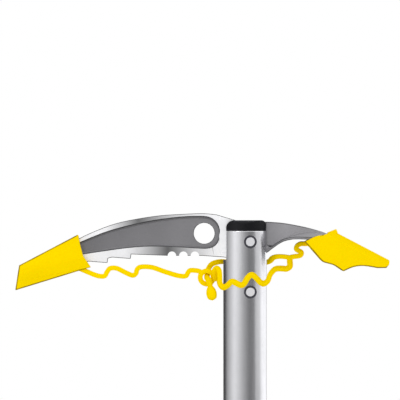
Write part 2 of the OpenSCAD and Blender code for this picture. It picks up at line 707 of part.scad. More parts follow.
module toggle() {
    color(yellow)
    translate(strand_back[len(strand_back) - 1] + [0, 0, axe_length])
        rotate([0, -toggle_axis, 0])
            rotate_extrude($fn = 48) polygon(concat(
                [[0, -2 * fit], [strap_d / 2, -2 * fit]],
                smooth([[strap_d / 2 + 0.2, -0.8], [3.2, -2.8], [toggle_r, 1 - toggle_l * 0.62],
                    [toggle_r * 0.8, 1.6 - toggle_l], [0, -toggle_l]], 4)));
}

shaft_tube();
head();
shaft_cap();
front_packing();
rear_packing();
head_rivets();
rivet_washers();
spike();
spike_plug();
spike_rivets();
pick_cover();
pick_link();
loop_strap();
tail_strand();
toggle();
adze_link();
adze_cover();
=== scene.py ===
"""Studio set for a walking ice axe that wears a stretched rubber guard.

The CAD model is the frame. Each operator below dresses one piece or one group of like
pieces, and the stage operator adds the floor, the lamps and the camera.
"""

import math

import bmesh
import bpy
from bpy.props import FloatProperty, FloatVectorProperty, IntProperty, PointerProperty
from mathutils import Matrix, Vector


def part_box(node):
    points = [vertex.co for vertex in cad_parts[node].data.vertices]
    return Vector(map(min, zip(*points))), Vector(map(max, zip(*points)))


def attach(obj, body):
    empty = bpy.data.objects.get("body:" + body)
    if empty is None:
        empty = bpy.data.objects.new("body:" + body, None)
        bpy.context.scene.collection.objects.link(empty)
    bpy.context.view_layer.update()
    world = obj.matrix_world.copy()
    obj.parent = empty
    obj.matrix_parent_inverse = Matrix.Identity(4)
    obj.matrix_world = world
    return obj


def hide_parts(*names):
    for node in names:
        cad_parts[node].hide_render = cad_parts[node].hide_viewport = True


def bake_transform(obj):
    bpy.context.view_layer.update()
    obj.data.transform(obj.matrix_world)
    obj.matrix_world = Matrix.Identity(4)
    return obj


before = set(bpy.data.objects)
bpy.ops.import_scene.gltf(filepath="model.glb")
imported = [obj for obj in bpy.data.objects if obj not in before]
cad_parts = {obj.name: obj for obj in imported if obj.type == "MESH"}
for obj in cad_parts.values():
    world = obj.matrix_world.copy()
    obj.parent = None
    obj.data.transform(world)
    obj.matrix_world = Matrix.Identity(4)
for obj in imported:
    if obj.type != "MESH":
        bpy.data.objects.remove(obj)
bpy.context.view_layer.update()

bl_info = {
    "name": "Ice axe dresser",
    "version": (1, 0, 0),
    "blender": (4, 5, 0),
    "location": "3D View > Sidebar > Ice axe",
    "description": "Dresses a walking ice axe with steel, alloy and rubber finishes",
    "category": "Object",
}

MM = 0.001
CAP_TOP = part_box("shaft_cap")[1][2]


# ---- settings -----------------------------------------------------------------------


def colour(name, about, default):
    return FloatVectorProperty(name=name, description=about, subtype="COLOR", size=3,
                               min=0, max=1, default=default)


def length(name, about, default):
    return FloatProperty(name=name, description=about, subtype="DISTANCE", unit="LENGTH",
                         min=0, default=default)


class AXE_PG_finish(bpy.types.PropertyGroup):
    """Colours of the axe's finishes, as linear values"""

    ground_steel: colour("Ground steel", "Bright borders of the forged head",
                         (0.95, 0.95, 0.97))
    forged_steel: colour("Forged steel", "Darker skin of the head and its panel",
                         (0.30, 0.295, 0.31))
    # Painted shade: a dark line along the head's rounded edges that darkens its outline
    burnished_edge: colour("Burnished edges", "Dark line along the head's rounded edges",
                           (0.05, 0.05, 0.053))
    shaft_alloy: colour("Shaft alloy", "Anodised tube", (0.84, 0.84, 0.87))
    spike_steel: colour("Spike steel", "Satin steel of the spike", (0.36, 0.36, 0.38))
    rivet_alloy: colour("Rivet alloy", "Heads of the rivets", (0.80, 0.80, 0.83))
    washer_dark: colour("Washers", "Dark rings round the rivets", (0.012, 0.012, 0.015))
    cap_black: colour("Cap", "Moulded black plastic", (0.0035, 0.0035, 0.005))
    rubber: colour("Rubber", "Yellow moulded rubber of the guard", (0.985, 0.70, 0.0))
    # Painted shade: the greyer yellow that the rubber takes in its hollows
    rubber_hollow_shade: colour("Rubber shade", "Greyer yellow in the hollows of the rubber",
                        (0.84, 0.55, 0.004))
    # Painted shade: the deeper tone that the rubber's rims take where they face down or towards the
    # pick's point
    rubber_soiled: colour("Handled rubber", "Deeper tone along the rounded edges",
                          (0.30, 0.20, 0.004))


class AXE_PG_form(bpy.types.PropertyGroup):
    """Small sizes that the finished pieces add to the frame"""

    steel_edge: length("Steel edge", "Rounding of the ground steel edges", 0.45 * MM)
    rubber_edge: length("Rubber edge", "Rounding of the moulded rubber edges", 0.9 * MM)
    plastic_edge: length("Plastic edge", "Rounding of the black plastic edges", 0.3 * MM)
    strap_side: length("Strap side", "Side of the square strap", 3.62 * MM)
    strap_steps: IntProperty(name="Strap steps", description="Rings between two route points",
                             min=2, max=24, default=8)


class AXE_PG_stage(bpy.types.PropertyGroup):
    """The camera and the lamps"""

    frame_width: length("Frame width", "Width of the view at the head", 300 * MM)
    lens: FloatProperty(name="Lens", description="Focal length", min=35, max=1200, default=800)
    centre_x: FloatProperty(name="Centre X", description="Middle of the view along the head",
                            unit="LENGTH", default=-33.75 * MM)
    centre_up: FloatProperty(name="Centre up", description="Middle of the view above the cap",
                             unit="LENGTH", default=15.2 * MM)
    key_power: FloatProperty(name="Key", description="Power of the key lamp", min=0, default=2.2)
    fill_power: FloatProperty(name="Fill", description="Power of the fill lamp", min=0, default=1.2)


# ---- materials ----------------------------------------------------------------------


class Nodes:
    """A shorthand for building a node tree"""

    def __init__(self, name):
        self.material = bpy.data.materials.new(name)
        self.material.use_nodes = True
        self.tree = self.material.node_tree
        self.shader = self.tree.nodes["Principled BSDF"]
        self.coords = self.add("ShaderNodeTexCoord").outputs["Object"]

    def add(self, kind, **values):
        made = self.tree.nodes.new(kind)
        for key, value in values.items():
            if key in made.inputs:
                made.inputs[key].default_value = value
            else:
                setattr(made, key, value)
        return made

    def join(self, source, target):
        self.tree.links.new(source, target)

    def noise(self, scale, detail=6, roughness=0.55, stretch=(1, 1, 1)):
        place = self.add("ShaderNodeMapping")
        place.inputs["Scale"].default_value = stretch
        self.join(self.coords, place.inputs["Vector"])
        made = self.add("ShaderNodeTexNoise", Scale=scale, Detail=detail, Roughness=roughness)
        self.join(place.outputs[0], made.inputs["Vector"])
        return made.outputs["Fac"]

    def ramp(self, source, low, high, at=(0.35, 0.65)):
        made = self.add("ShaderNodeValToRGB")
        made.color_ramp.elements[0].position = at[0]
        made.color_ramp.elements[1].position = at[1]
        made.color_ramp.elements[0].color = (*low, 1)
        made.color_ramp.elements[1].color = (*high, 1)
        self.join(source, made.inputs["Fac"])
        return made.outputs["Color"]

    def grey(self, source, low, high, at=(0.3, 0.7)):
        return self.ramp(source, (low,) * 3, (high,) * 3, at)

    def along(self, direction, stops):
        """A grey that changes along a direction, from (metres from the cap's top, level) stops"""
        dot = self.add("ShaderNodeVectorMath", operation="DOT_PRODUCT")
        self.join(self.coords, dot.inputs[0])
        dot.inputs[1].default_value = direction
        part = self.add("ShaderNodeMapRange")
        part.inputs["From Min"].default_value = stops[0][0] + direction[2] * CAP_TOP
        part.inputs["From Max"].default_value = stops[-1][0] + direction[2] * CAP_TOP
        self.join(dot.outputs["Value"], part.inputs["Value"])
        return self.bands(part.outputs[0], stops)

    def bands(self, source, stops):
        """A grey ramp from (place, level) stops, stretched over their whole range"""
        made = self.add("ShaderNodeValToRGB")
        low, high = stops[0][0], stops[-1][0]
        ramp = made.color_ramp.elements
        ramp[0].position, ramp[1].position = 0, 1
        for at, level in stops:
            part = (at - low) / (high - low)
            stop = ramp[0] if part == 0 else ramp[len(ramp) - 1] if part == 1 else ramp.new(part)
            stop.color = (level, level, level, 1)
        self.join(source, made.inputs["Fac"])
        return made.outputs["Color"]

    def mix(self, fac, a, b, mode="MIX"):
        made = self.add("ShaderNodeMix", data_type="RGBA", blend_type=mode)
        sockets = (made.inputs["Factor"], made.inputs[6], made.inputs[7])
        for socket, value in zip(sockets, (fac, a, b)):
            if isinstance(value, (float, int)):
                socket.default_value = value
            elif isinstance(value, tuple):
                socket.default_value = (*value, 1)
            else:
                self.join(value, socket)
        return made.outputs[2]

    def edges(self, low=0.5, high=0.6):
        """White along convex edges"""
        return self.grey(self.add("ShaderNodeNewGeometry").outputs["Pointiness"], 0, 1, (low, high))

    def bump(self, height, strength, distance):
        made = self.add("ShaderNodeBump", Strength=strength, Distance=distance)
        self.join(height, made.inputs["Height"])
        self.join(made.outputs[0], self.shader.inputs["Normal"])

    def colour(self, source):
        self.join(source, self.shader.inputs["Base Color"])

    def rough(self, source):
        self.join(source, self.shader.inputs["Roughness"])

    def set(self, **values):
        for key, value in values.items():
            self.shader.inputs[key.replace("_", " ")].default_value = value


def shade(c, k):
    return tuple(min(1.0, v * k) for v in c)


# Painted reflection on the ground borders along the pick: bright at the point and the neck, dark
# between them, nearer the neck below the panel than above it
BROW_PAINTED_REFLECTION = ((-0.18, 0.84), (-0.105, 0.84), (-0.08, 0.12), (-0.05, 0.64), (-0.016, 1.0),
               (0.1, 1.0))
BELLY_PAINTED_REFLECTION = ((-0.18, 0.84), (-0.09, 1.0), (-0.058, 0.12), (-0.022, 1.0), (0.1, 1.0))


def ground_steel_material(c):
    """Bright ground steel: fine grinding lines and soft blotches"""
    n = Nodes("ground_steel")
    lines = n.noise(420, 5, 0.6, (0.12, 1, 1))
    blotch = n.noise(38, 5)
    base = n.ramp(blotch, shade(c, 0.92), shade(c, 1.02))
    # Painted reflection: the ground borders darken along the pick, with one gradient above the
    # panel line and another below it
    below = n.along((-0.19, 0, 1), ((-0.1, 1), (-0.001, 1), (0.001, 0), (0.1, 0)))
    painted_reflection = n.mix(below, n.along((1, 0, 0), BROW_PAINTED_REFLECTION), n.along((1, 0, 0), BELLY_PAINTED_REFLECTION))
    base = n.mix(1.0, base, painted_reflection, "MULTIPLY")
    n.colour(base)
    n.rough(n.grey(lines, 0.24, 0.42))
    n.bump(lines, 0.22, 0.00012)
    n.set(Metallic=0.12)
    return n.material


# Painted reflection on the forged skin: darker towards the point of the pick, lighter where the
# adze begins
FORGED_PAINTED_REFLECTION = ((-0.13, 0.62), (-0.05, 0.86), (0.012, 0.86), (0.03, 1.2), (0.045, 0.98))


def forged_steel_material(c):
    """Forged skin: a darker satin steel with a scaly, slightly hammered surface"""
    n = Nodes("forged_steel")
    scale = n.noise(620, 8, 0.65)
    dents = n.noise(90, 3)
    base = n.ramp(n.noise(26, 6), shade(c, 0.94), shade(c, 1.06))
    # Painted reflection: the forged skin darkens towards the pick's point and brightens at the neck
    base = n.mix(1.0, base, n.along((1, 0, 0), FORGED_PAINTED_REFLECTION), "MULTIPLY")
    n.colour(base)
    n.rough(n.grey(scale, 0.46, 0.62))
    n.bump(n.mix(0.5, scale, dents), 0.35, 0.0002)
    n.set(Metallic=0.55)
    return n.material


def burnished_edge_material(c):
    """Painted shade along the rounded edges, a dark line round the outline, rubbed bright here and
    there
    """
    n = Nodes("burnished_edge")
    rub = n.noise(60, 6, 0.7)
    n.colour(n.ramp(rub, c, shade(c, 2.4), (0.45, 0.75)))
    n.rough(n.grey(rub, 0.35, 0.55))
    n.bump(rub, 0.15, 0.0001)
    n.set(Metallic=0.4)
    return n.material


def alloy_material(name, c, roughness=(0.18, 0.28), lines=(1, 1, 0.04), metallic=1.0):
    """Drawn and anodised alloy, with fine lines along the tube and a few rubbed spots"""
    n = Nodes(name)
    drawn = n.noise(900, 4, 0.5, lines)
    rub = n.noise(22, 8, 0.7)
    n.colour(n.ramp(rub, shade(c, 0.93), shade(c, 1.03)))
    n.rough(n.mix(0.5, n.grey(drawn, *roughness), n.grey(rub, roughness[1], roughness[0])))
    n.bump(drawn, 0.10, 0.00006)
    n.set(Metallic=metallic)
    return n.material


def dark_metal_material(c):
    """Blackened washers, rubbed brighter on their edges"""
    n = Nodes("blackened_washer")
    grain = n.noise(800, 6)
    n.colour(n.mix(n.edges(0.51, 0.6), n.ramp(grain, shade(c, 0.7), shade(c, 1.3)), shade(c, 4.0)))
    n.rough(n.grey(grain, 0.42, 0.6))
    n.bump(grain, 0.2, 0.00006)
    n.set(Metallic=0.1, Specular_IOR_Level=0.25)
    return n.material


def plastic_material(c):
    """Moulded black plastic with a fine spark-eroded grain and paler scuffs on its edges"""
    n = Nodes("moulded_black")
    grain = n.noise(1500, 4, 0.6)
    scuff = n.noise(60, 8, 0.7)
    base = n.ramp(scuff, c, shade(c, 1.9), (0.45, 0.8))
    n.colour(n.mix(n.edges(0.52, 0.62), base, shade(c, 5.0)))
    n.rough(n.grey(grain, 0.36, 0.52))
    n.bump(grain, 0.18, 0.00008)
    n.set(Specular_IOR_Level=0.22)
    return n.material


# Scale, detail and roughness of the moulded grain
RUBBER_GRAIN = (1300, 5, 0.6)


def rubber_material(c, deep):
    """Satin yellow rubber: a fine moulded grain, faint clouding and painted shade in the hollows"""
    n = Nodes("moulded_rubber")
    grain = n.noise(*RUBBER_GRAIN)
    cloud = n.noise(32, 5, 0.6)
    base = n.ramp(cloud, shade(c, 0.955), shade(c, 1.02), (0.3, 0.7))
    # Painted shade: where the pointiness is low, in the hollows, the rubber turns the greyer yellow
    painted_hollow_shade = n.mix(n.grey(n.add("ShaderNodeNewGeometry").outputs["Pointiness"], 1, 0, (0.40, 0.49)),
                  base, deep)
    n.colour(painted_hollow_shade)
    n.rough(n.grey(grain, 0.40, 0.56))
    n.bump(grain, 0.10, 0.00008)
    n.set(Metallic=0.07, Specular_IOR_Level=0.0, Specular_Tint=(*c, 1), Subsurface_Weight=0.06,
          Subsurface_Scale=0.002)
    n.shader.inputs["Subsurface Radius"].default_value = (1.0, 0.5, 0.1)
    return n.material


def soiled_rubber_material(c, soil):
    """Painted shade on the rubber's rounded rims: a deeper tone, rubbed back here and there"""
    n = Nodes("soiled_rubber")
    rub = n.noise(70, 6, 0.7)
    n.colour(n.ramp(rub, soil, tuple((a + b) / 2 for a, b in zip(soil, c)), (0.45, 0.8)))
    n.rough(n.grey(rub, 0.45, 0.6))
    n.bump(n.noise(*RUBBER_GRAIN), 0.10, 0.00008)
    n.set(Specular_IOR_Level=0.0)
    return n.material


# Brightness of the tent as the metal sees it, in degrees round from the front: a soft panel to
# the left, a dark gap right of the front, a large bright panel to the right, and dusk behind
TENT_BANDS = ((-180, 0.15), (-110, 0.05), (-40, 0.85), (15, 0.15), (60, 0.3), (90, 1.15),
              (130, 1.15), (180, 0.15))


def floor_material():
    """White floor that keeps its shadows, and that shows the metal the same bands as the tent"""
    n = Nodes("studio_floor")
    n.colour(n.ramp(n.noise(3, 4), (0.93, 0.93, 0.93), (0.95, 0.95, 0.95)))
    n.rough(n.grey(n.noise(40, 4), 0.7, 0.8))
    n.set(Specular_IOR_Level=0.0, Emission_Strength=0.14)
    rays = n.add("ShaderNodeLightPath")
    n.join(rays.outputs["Is Camera Ray"], n.shader.inputs["Emission Color"])
    glow = n.add("ShaderNodeEmission", Strength=1.0)
    n.join(round_bands(n), glow.inputs["Color"])
    choose = n.add("ShaderNodeMixShader")
    n.join(rays.outputs["Is Glossy Ray"], choose.inputs[0])
    n.join(n.shader.outputs[0], choose.inputs[1])
    n.join(glow.outputs[0], choose.inputs[2])
    n.join(choose.outputs[0], n.tree.nodes["Material Output"].inputs["Surface"])
    return n.material


def round_bands(n):
    """The tent's bands, by the angle round the shaft"""
    axes = n.add("ShaderNodeSeparateXYZ")
    n.join(n.coords, axes.inputs[0])
    back = n.add("ShaderNodeMath", operation="MULTIPLY")
    n.join(axes.outputs["Y"], back.inputs[0])
    back.inputs[1].default_value = -1
    turn = n.add("ShaderNodeMath", operation="ARCTAN2")
    n.join(axes.outputs["X"], turn.inputs[0])
    n.join(back.outputs[0], turn.inputs[1])
    part = n.add("ShaderNodeMapRange")
    part.inputs["From Min"].default_value = -math.pi
    part.inputs["From Max"].default_value = math.pi
    n.join(turn.outputs[0], part.inputs["Value"])
    return n.bands(part.outputs[0], TENT_BANDS)


def tent_material():
    """Light tent: soft vertical bands, fading to white above and below"""
    n = Nodes("light_tent")
    bands = round_bands(n)
    axes = n.add("ShaderNodeSeparateXYZ")
    n.join(n.coords, axes.inputs[0])
    rise = n.add("ShaderNodeMath", operation="ABSOLUTE")
    n.join(axes.outputs["Z"], rise.inputs[0])
    fade = n.grey(rise.outputs[0], 0, 1, (0.35, 0.95))
    glow = n.add("ShaderNodeEmission", Strength=1.0)
    n.join(n.mix(fade, bands, (1.0, 1.0, 1.0)), glow.inputs["Color"])
    n.join(glow.outputs[0], n.tree.nodes["Material Output"].inputs["Surface"])
    n.tree.nodes.remove(n.shader)
    return n.material


MATERIALS = {}


def materials():
    """Every finish, made once"""
    if not MATERIALS:
        f = bpy.context.scene.axe_finish
        MATERIALS.update(
            ground=ground_steel_material(tuple(f.ground_steel)),
            forged=forged_steel_material(tuple(f.forged_steel)),
            # Painted shade along the head's rounded edges
            burnished=burnished_edge_material(tuple(f.burnished_edge)),
            alloy=alloy_material("drawn_alloy", tuple(f.shaft_alloy)),
            rivet=alloy_material("rivet_alloy", tuple(f.rivet_alloy), (0.25, 0.4), (1, 1, 1),
                                 0.3),
            spike=alloy_material("spike_steel", tuple(f.spike_steel), (0.3, 0.45), (1, 1, 0.3),
                                 0.6),
            washer=dark_metal_material(tuple(f.washer_dark)),
            plastic=plastic_material(tuple(f.cap_black)),
            rubber=rubber_material(tuple(f.rubber), tuple(f.rubber_hollow_shade)),
            # Painted shade on the rubber's rims
            soiled=soiled_rubber_material(tuple(f.rubber), tuple(f.rubber_soiled)),
        )
    return MATERIALS


# ---- mesh helpers -------------------------------------------------------------------

# Points nearer than this are one, and bends smaller than this are flat
WELD = 0.004 * MM
FLAT = math.radians(0.6)
# Edges sharper than the first are rounded, and those sharper than the second look crisp
SHARP = math.radians(28)
CRISP = math.radians(32)
# How far a rounded edge looks down, or towards the point of the pick, to count as a rim that takes
# the painted rim shade
RIM_DOWN = -0.05
RIM_TO_POINT = -0.2

def new_piece(name, bm, *finishes):
    """Closes a bmesh into an object at the origin"""
    if not bm.faces:
        raise RuntimeError(name + " has no faces")
    mesh = bpy.data.meshes.new(name)
    bm.to_mesh(mesh)
    bm.free()
    piece = bpy.data.objects.new(name, mesh)
    bpy.context.collection.objects.link(piece)
    for finish in finishes:
        mesh.materials.append(materials()[finish])
    return piece


def even_normals(piece):
    """Lets the large faces keep their own direction beside rounded edges"""
    even = piece.modifiers.new("even_normals", "WEIGHTED_NORMAL")
    even.keep_sharp = True
    even.weight = 90


def smooth_shading(bm, angle, where=lambda middle: True):
    """Smooth faces, with the edges sharper than the angle kept crisp"""
    for face in bm.faces:
        face.smooth = True
    for edge in bm.edges:
        if where((edge.verts[0].co + edge.verts[1].co) / 2):
            edge.smooth = edge.is_manifold and edge.calc_face_angle(0) < angle


def copy_of_node(node, flat=FLAT):
    """A clean copy of a CAD node's mesh: welded, with its flat faces made whole"""
    bm = bmesh.new()
    bm.from_mesh(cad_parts[node].data)
    bmesh.ops.remove_doubles(bm, verts=bm.verts, dist=WELD)
    bmesh.ops.dissolve_limit(bm, angle_limit=flat, verts=bm.verts, edges=bm.edges)
    return bm


def breadth(face):
    """A face's area over its longest edge"""
    return face.calc_area() / max(e.calc_length() for e in face.edges)


def round_edges(bm, width, angle, thin=1.6, segments=2):
    """Rounds each outer edge sharper than the angle, except on thin faces; gives the new faces"""
    sharp = [e for e in bm.edges if e.is_manifold and e.is_convex and e.calc_face_angle(0) > angle
             and min(breadth(f) for f in e.link_faces) > width * thin]
    made = bmesh.ops.bevel(bm, geom=sharp, offset=width, offset_type="OFFSET",
                           segments=segments, profile=0.5, affect="EDGES",
                           clamp_overlap=False, material=-1)
    return made["faces"]


def dress(node, name, body, finishes, width=0.0, angle=SHARP):
    """Replaces a CAD node by a copy with rounded edges and a finish, or one more, a painted shade,
    for the rims
    """
    bm = copy_of_node(node)
    if width:
        for face in round_edges(bm, width, angle):
            if face.normal.z < RIM_DOWN or face.normal.x < RIM_TO_POINT:
                face.material_index = len(finishes) - 1
        bmesh.ops.recalc_face_normals(bm, faces=bm.faces)
    smooth_shading(bm, CRISP)
    piece = new_piece(name, bm, *finishes)
    even_normals(piece)
    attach(piece, body)
    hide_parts(node)
    return piece


# ---- steel and alloy ----------------------------------------------------------------

# Material slots of the head beside its first, the ground steel
FORGED = 1
# The last slot holds the painted shade of the rounded edges
EDGE_SHADE_SLOT = 2
# The head's facets are kept finer than the other pieces', and crisp on the pick's side
HEAD_FLAT = math.radians(0.05)
PICK_CRISP = math.radians(0.3)
PICK_SIDE = 14 * MM
# The adze is forged skin from here on, measured from the shaft's axis
ADZE_SKIN = 12 * MM
# Least breadth of a face, in edge widths, beside a rounded edge of the head
HEAD_THIN = 0.5
PANEL_STEPS = 6
PANEL_SPILL = 0.3 * MM
CAP_SHARP = math.radians(62)
# How near a face lies to the oval of the wall, and to its direction, to take its shine
WALL_LIKE = 0.97
# Share of the steel edge that the thin washers get
WASHER_EDGE = 0.5

# The upper and lower edges of the forged panel in the pick
PANEL_TOP = [(-128, 0, -18.6), (-107.3, 0, -10), (-90, 0, -4.8), (-68.9, 0, -0.3),
             (-48.8, 0, 2.3), (-34, 0, 2.9), (-26.6, 0, 2), (-21.8, 0, -1.4), (-19.6, 0, -5.6),
             (-19.1, 0, -9.6)]
PANEL_BOTTOM = [(-127, 0, -26), (-107, 0, -23), (-88, 0, -20.4), (-70, 0, -19.2),
                (-50, 0, -19.8), (-35, 0, -20.7), (-27, 0, -20.7), (-22, 0, -18.2),
                (-19.8, 0, -14), (-19.1, 0, -9.8)]


def height_on(line, x):
    """The height of a line at x"""
    for one, two in zip(line, line[1:]):
        if x <= two.x:
            return one.z + (two.z - one.z) * (x - one.x) / (two.x - one.x)
    return line[-1].z


class AXE_OT_head(bpy.types.Operator):
    """Dress the forged head: bright ground borders round darker forged panels"""

    bl_idname = "axe.head"
    bl_label = "Forged head"

    def execute(self, context):
        form = context.scene.axe_form
        bm = copy_of_node("head", flat=HEAD_FLAT)
        self.finish_faces(bm)
        # Every rounded edge of the head takes the painted edge shade
        for face in round_edges(bm, form.steel_edge, SHARP, thin=HEAD_THIN):
            face.material_index = EDGE_SHADE_SLOT
        smooth_shading(bm, CRISP)
        smooth_shading(bm, PICK_CRISP, lambda middle: middle.x < PICK_SIDE)
        piece = new_piece("forged_head", bm, "ground", "forged", "burnished")
        even_normals(piece)
        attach(piece, "axe")
        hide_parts("head")
        return {"FINISHED"}

    def finish_faces(self, bm):
        """Marks the panels and the adze as forged skin; the rest is ground"""
        top = smooth_route(PANEL_TOP, PANEL_STEPS)
        bottom = smooth_route(PANEL_BOTTOM, PANEL_STEPS)
        for face in bm.faces:
            panel = all(
                top[0].x - PANEL_SPILL < c.x < top[-1].x + PANEL_SPILL
                and height_on(bottom, c.x) - PANEL_SPILL < c.z < height_on(top, c.x) + PANEL_SPILL
                for c in (v.co for v in face.verts))
            if panel or face.calc_center_median().x > ADZE_SKIN:
                face.material_index = FORGED
        if not any(face.material_index for face in bm.faces):
            raise RuntimeError("the head has no forged faces")


class AXE_OT_shaft(bpy.types.Operator):
    """Dress the oval tube and the plastic inside it"""

    bl_idname = "axe.shaft"
    bl_label = "Shaft"

    def execute(self, context):
        form = context.scene.axe_form
        tube = dress("shaft_tube", "oval_tube", "axe", ["alloy"], form.steel_edge)
        cap = dress("shaft_cap", "top_cap", "axe", ["plastic"], form.plastic_edge, CAP_SHARP)
        for piece in (tube, cap):
            self.drawn_normals(piece, *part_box("shaft_tube")[1][:2])
        for node in ("front_packing", "rear_packing", "spike_plug"):
            dress(node, node + "_moulding", "axe", ["plastic"])
        return {"FINISHED"}

    def drawn_normals(self, piece, wide, deep):
        """Gives the wall the exact direction of its oval, so that its shine runs straight down"""
        piece.modifiers.clear()
        mesh = piece.data
        normals = []
        for face in mesh.polygons:
            for co in (mesh.vertices[i].co for i in face.vertices):
                out = Vector((co.x / wide ** 2, co.y / deep ** 2, 0)).normalized()
                on_oval = (co.x / wide) ** 2 + (co.y / deep) ** 2 > WALL_LIKE
                skin = on_oval and face.normal.dot(out) > WALL_LIKE
                normals.append(out if skin else Vector((0, 0, 0)))
        if not any(normals):
            raise RuntimeError(piece.name + " has no oval wall")
        mesh.normals_split_custom_set(normals)


class AXE_OT_rivets(bpy.types.Operator):
    """Dress the rivets and their dark washers"""

    bl_idname = "axe.rivets"
    bl_label = "Rivets"

    def execute(self, context):
        edge = context.scene.axe_form.steel_edge
        dress("head_rivets", "headed_rivets", "axe", ["rivet"], edge)
        dress("spike_rivets", "lower_rivets", "axe", ["rivet"], edge)
        dress("rivet_washers", "ring_washers", "axe", ["washer"], edge * WASHER_EDGE)
        return {"FINISHED"}


class AXE_OT_spike(bpy.types.Operator):
    """Dress the forged spike"""

    bl_idname = "axe.spike"
    bl_label = "Spike"

    def execute(self, context):
        edge = context.scene.axe_form.steel_edge
        dress("spike", "ground_spike", "axe", ["spike"], edge)
        return {"FINISHED"}


# ---- rubber guard -------------------------------------------------------------------

COVER_SHARP = math.radians(55)
STRAP_CRISP = math.radians(50)
# Side of each part's section beside the strap's own
RING_SECTION = 1.03
TAIL_SECTION = 0.99
FOLD_SECTION = 1.02
# Size of a tip that sinks into a cover or into another strap
SUNK_TIP = 0.8


def place(point):
    """A point in millimetres from the top of the cap, in metres in the frame"""
    return Vector(point) * MM + Vector((0, 0, CAP_TOP))


def smooth_route(points, steps):
    """A smooth curve, in the frame, through points in millimetres from the top of the cap"""
    p = [place(q) for q in points]
    out = []
    for i in range(len(p) - 1):
        a, b, c, d = p[max(i - 1, 0)], p[i], p[i + 1], p[min(i + 2, len(p) - 1)]
        for k in range(steps):
            t = k / steps
            out.append(0.5 * (2 * b + (c - a) * t + (2 * a - 5 * b + 4 * c - d) * t * t
                              + (3 * b - a - 3 * c + d) * t ** 3))
    out.append(p[-1])
    return out


def strap_profile(side, corner=0.2, arc=3):
    """A square with round corners, as (across, up) pairs"""
    half, r = side / 2, side * corner
    out = []
    for quarter in range(4):
        turn = quarter * math.pi / 2
        centre = Vector((half - r, half - r))
        for k in range(arc + 1):
            a = k * math.pi / 2 / arc
            q = centre + r * Vector((math.cos(a), math.sin(a)))
            out.append((q.x * math.cos(turn) - q.y * math.sin(turn),
                        q.x * math.sin(turn) + q.y * math.cos(turn)))
    return out


def swept_strap(points, steps, side, start=(0, 1, 0), tips=(1, 1)):
    """The moulded strap along a route, closed at both ends, and slimmer where a tip sinks in"""
    path = smooth_route(points, steps)
    profile = strap_profile(side)
    bm = bmesh.new()
    normal = Vector(start)
    rings = []
    for i, p in enumerate(path):
        tangent = (path[min(i + 1, len(path) - 1)] - path[max(i - 1, 0)]).normalized()
        normal = (normal - normal.dot(tangent) * tangent).normalized()
        across = normal.cross(tangent)
        size = tips[0] if i < 2 else tips[1] if i > len(path) - 3 else 1
        rings.append([bm.verts.new(p + size * (a * across + b * normal)) for a, b in profile])
    loops = [[bm.edges.new((ring[k - 1], ring[k])) for k in range(len(ring))] for ring in rings]
    for one, two in zip(loops, loops[1:]):
        bmesh.ops.bridge_loops(bm, edges=one + two)
    for loop in (loops[0], loops[-1]):
        bmesh.ops.contextual_create(bm, geom=loop)
    bmesh.ops.recalc_face_normals(bm, faces=bm.faces)
    smooth_shading(bm, STRAP_CRISP)
    return bm


PICK_ROUTE = [
    (-123, 0, -36.6), (-117.4, 0, -39), (-113, 0, -40.8), (-109.1, 0, -41.9), (-105.2, 0, -41.7),
    (-103.4, 0, -38.6), (-100.9, 0, -36), (-96, 0, -36.1), (-90, 0, -39), (-84.4, 0, -41.3),
    (-81.8, 0, -39.8), (-80.9, 0, -36.9), (-78, 0, -35), (-69.8, 0, -35.3), (-60, 0, -38.6),
    (-50.3, 0, -41.5), (-44.6, 0, -41.8), (-42.9, 0, -39.5), (-41, 0, -37.6), (-36, 0, -37.8),
    (-33.6, 0, -38.6), (-32.2, 0, -39.8)]
FRONT_ROUTE = [
    (-22.8, -0.6, -45.6), (-22.7, -1.2, -42.4), (-23.1, -2, -39.2), (-22.9, -2.6, -37.4),
    (-21.2, -3.4, -36.1), (-19.5, -5, -38.2), (-19.1, -6.4, -43), (-18.9, -7.4, -47.2),
    (-16.6, -8.4, -50.2),
    (-13.3, -9.9, -48.9), (-10.1, -11.3, -45.9), (-6.8, -12, -46.9), (-3.2, -12.3, -48.6),
    (-0.6, -12.3, -47.2), (1.8, -12.3, -43.2), (4.9, -12.2, -40.8), (8, -11.9, -42.8),
    (11.4, -10.7, -46.4), (14.2, -9.1, -47.4), (17.1, -6.8, -45.2), (18.5, -5.2, -41.4),
    (20.5, -3.4, -38.5), (23.3, -1.6, -36.4), (28.1, -0.4, -36.2), (31, 0, -36.4),
    (33.6, 0, -34.6), (33.6, 0, -30.3), (33.7, 0, -26.4)]
BACK_ROUTE = [
    (33, 0, -27.8), (29, 0.4, -27.3), (24.7, 1.6, -27.2), (21, 3.8, -28.2), (18.4, 6.6, -30.8),
    (13, 9.8, -32.2), (7, 12.5, -32.2), (-7, 12.5, -31.6), (-13.6, 9.8, -31.2),
    (-18.5, 7.2, -31.1), (-22.6, 6.2, -31.9), (-25.4, 6.2, -33.4), (-27.4, 5.8, -36.4),
    (-28.3, 4.4, -40.2), (-28.5, 1.6, -42.3), (-28.4, -1.6, -43.1), (-27.7, -4.7, -44.2),
    (-26.8, -5.4, -46.4), (-26.2, -5.4, -49.0)]
ADZE_ROUTE = [
    (33.8, 0, -27.8), (37.1, 0, -27.2), (41.4, 0, -26.4), (42.2, 0, -24), (38.6, 0, -21.8),
    (39.2, 0, -19.2), (41.6, 0, -17.7), (44.4, 0, -17.6), (49.6, 0, -17.6)]
RING_AT = (-28.7, 0, -42.9)
RING_RADIUS = 4.9 * MM
RING_STEPS = 48


